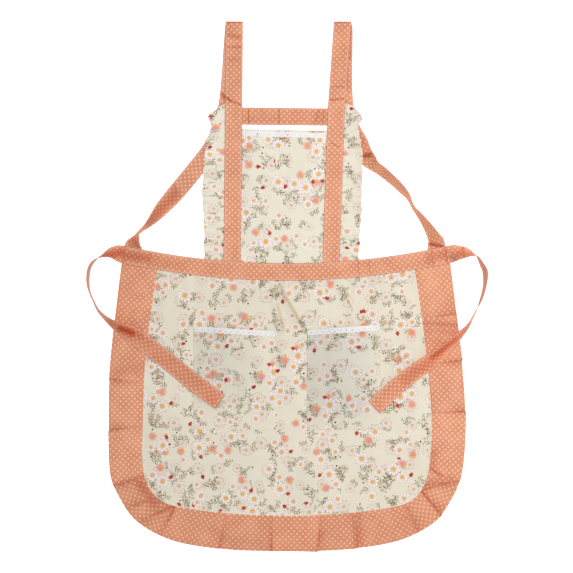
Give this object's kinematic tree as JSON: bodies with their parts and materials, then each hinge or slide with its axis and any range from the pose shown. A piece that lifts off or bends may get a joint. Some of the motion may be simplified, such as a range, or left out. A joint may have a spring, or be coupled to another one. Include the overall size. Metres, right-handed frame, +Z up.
{
  "type": "kitchen apron",
  "caption": "Kitchen apron laid flat: floral bib and skirt with a folded dotted border, side ruffles, lace trims, patch pockets, shoulder straps joined by a back bar, and waist ties.",
  "frame": {"origin": "middle of the apron's box, on the surface that it lies on", "axes": "+X to the right and +Y towards the shoulder straps as the apron lies face up, +Z up"},
  "size_m": [0.7206, 0.953, 0.0339],
  "materials": {
    "dotted_cotton": "matt printed cotton, pale dots on terracotta",
    "floral_cotton": "matt printed cotton, small flowers on cream",
    "lace": "matt white cotton lace"
  },
  "bodies": {
    "root": {"skirt_panel": "floral_cotton", "skirt_border": "dotted_cotton", "waistband": "dotted_cotton", "bib_panel": "floral_cotton", "bib_lace": "lace", "bib_ruffle_left": "floral_cotton", "bib_ruffle_right": "floral_cotton", "shoulder_strap_left": "dotted_cotton", "shoulder_strap_right": "dotted_cotton", "back_bar": "dotted_cotton", "pocket_left": "floral_cotton", "pocket_right": "floral_cotton", "pocket_lace_left": "lace", "pocket_lace_right": "lace", "waist_tie_left": "dotted_cotton", "waist_tie_right": "dotted_cotton"}
  },
  "joints": []
}
